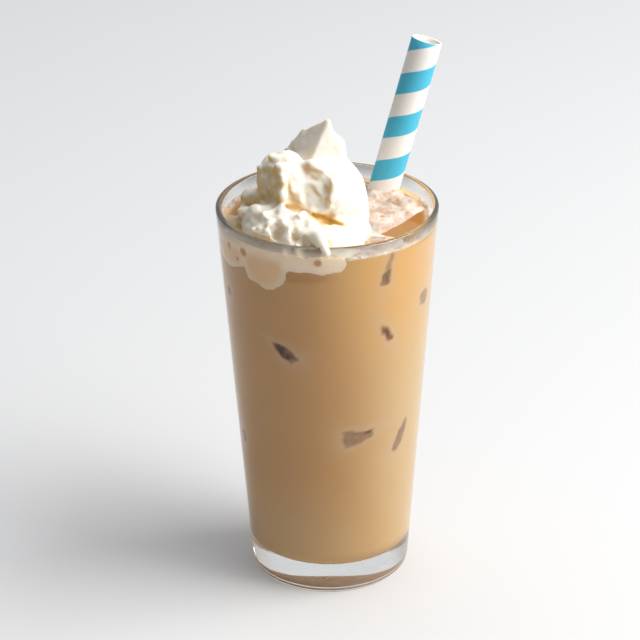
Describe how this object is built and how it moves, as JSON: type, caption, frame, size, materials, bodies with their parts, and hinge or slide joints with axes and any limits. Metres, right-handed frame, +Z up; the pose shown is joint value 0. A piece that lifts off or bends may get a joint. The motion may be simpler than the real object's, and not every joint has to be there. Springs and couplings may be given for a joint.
{
  "type": "frappe",
  "caption": "Tall conical tumbler of milky iced coffee topped with a spooned heap of whipped cream, floating ice and a wide spiral-striped paper straw.",
  "frame": {"origin": "centre of the glass's flat foot, on the table", "axes": "+Z up along the glass's axis; -Y towards the viewer of the picture, +X to the right"},
  "size_m": [0.0878, 0.0881, 0.2135],
  "materials": {
    "glass": "clear, smooth",
    "coffee": "milky liquid",
    "cream": "soft whipped cream",
    "straw": "matt paper with spiral stripes",
    "ice": "wet, frothy"
  },
  "bodies": {
    "root": {"glass": "glass", "coffee": "coffee", "cream": "cream", "straw": "straw", "ice_front": "ice", "ice_right": "ice", "ice_back": "ice", "ice_left": "ice"}
  },
  "joints": []
}
